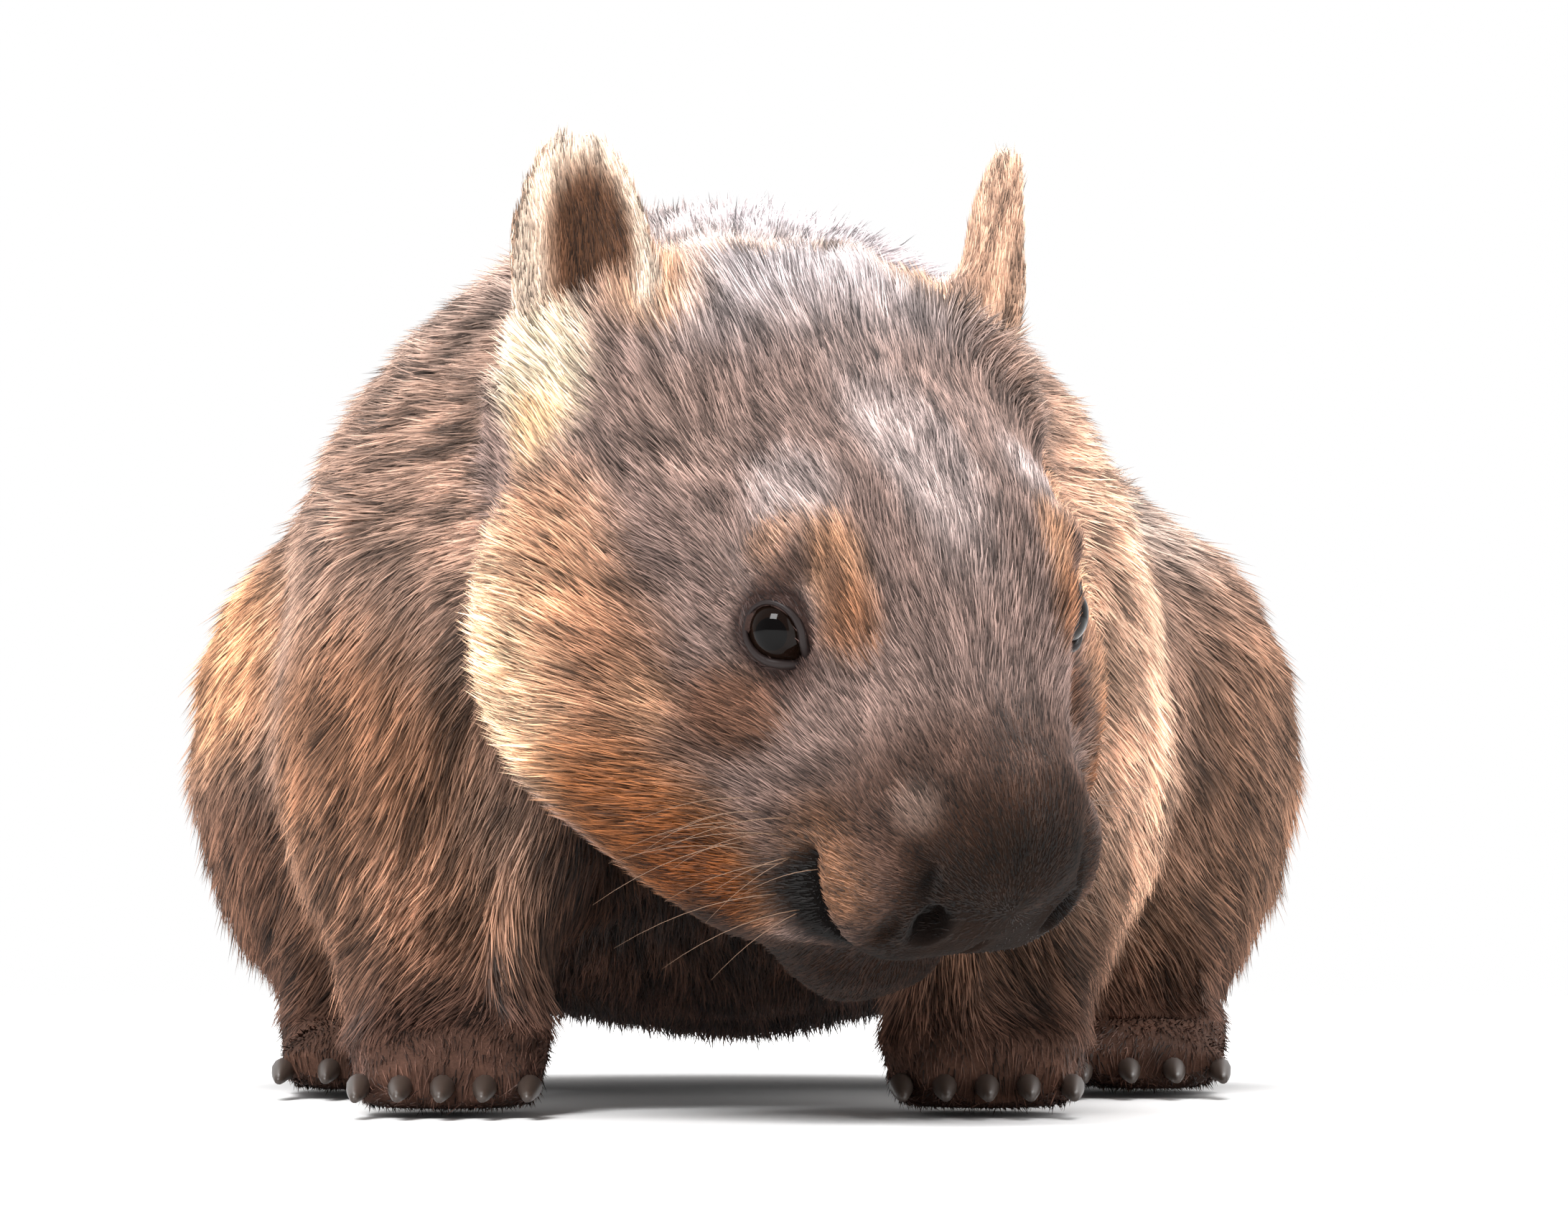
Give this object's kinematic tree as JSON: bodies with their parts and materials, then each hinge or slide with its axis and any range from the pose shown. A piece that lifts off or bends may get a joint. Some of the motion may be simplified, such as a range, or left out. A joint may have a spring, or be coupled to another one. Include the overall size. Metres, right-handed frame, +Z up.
{
  "type": "wombat",
  "caption": "Life-size southern hairy-nosed wombat, crouched low on all four feet with its head lowered to feed and turned to its left, as a still museum-style model.",
  "frame": {"origin": "on the floor, under the middle of the bounding box", "axes": "+Z up, the animal faces -Y and its left side is +X"},
  "size_m": [0.3742, 0.6816, 0.2868],
  "materials": {
    "face_coat": "short silky grey-brown fur",
    "body_coat": "long coarse brown fur",
    "leg_coat": "long dark brown fur with silvery strands",
    "paw_coat": "short dark fur over leathery skin",
    "ear_coat": "short tan fur with a pale rim",
    "eye": "wet and glossy",
    "claw": "satin dark horn"
  },
  "bodies": {
    "root": {"head": "face_coat", "lower_jaw": "face_coat", "neck": "body_coat", "trunk": "body_coat", "tail": "body_coat", "ear_left": "ear_coat", "ear_right": "ear_coat", "eye_left": "eye", "eye_right": "eye", "leg_fore_left": "leg_coat", "foot_fore_left": "paw_coat", "leg_fore_right": "leg_coat", "foot_fore_right": "paw_coat", "leg_hind_left": "leg_coat", "foot_hind_left": "paw_coat", "leg_hind_right": "leg_coat", "foot_hind_right": "paw_coat", "claw_fore_left_1": "claw", "claw_fore_left_2": "claw", "claw_fore_left_3": "claw", "claw_fore_left_4": "claw", "claw_fore_left_5": "claw", "claw_fore_right_1": "claw", "claw_fore_right_2": "claw", "claw_fore_right_3": "claw", "claw_fore_right_4": "claw", "claw_fore_right_5": "claw", "claw_hind_left_1": "claw", "claw_hind_left_2": "claw", "claw_hind_left_3": "claw", "claw_hind_left_4": "claw", "claw_hind_right_1": "claw", "claw_hind_right_2": "claw", "claw_hind_right_3": "claw", "claw_hind_right_4": "claw"}
  },
  "joints": []
}
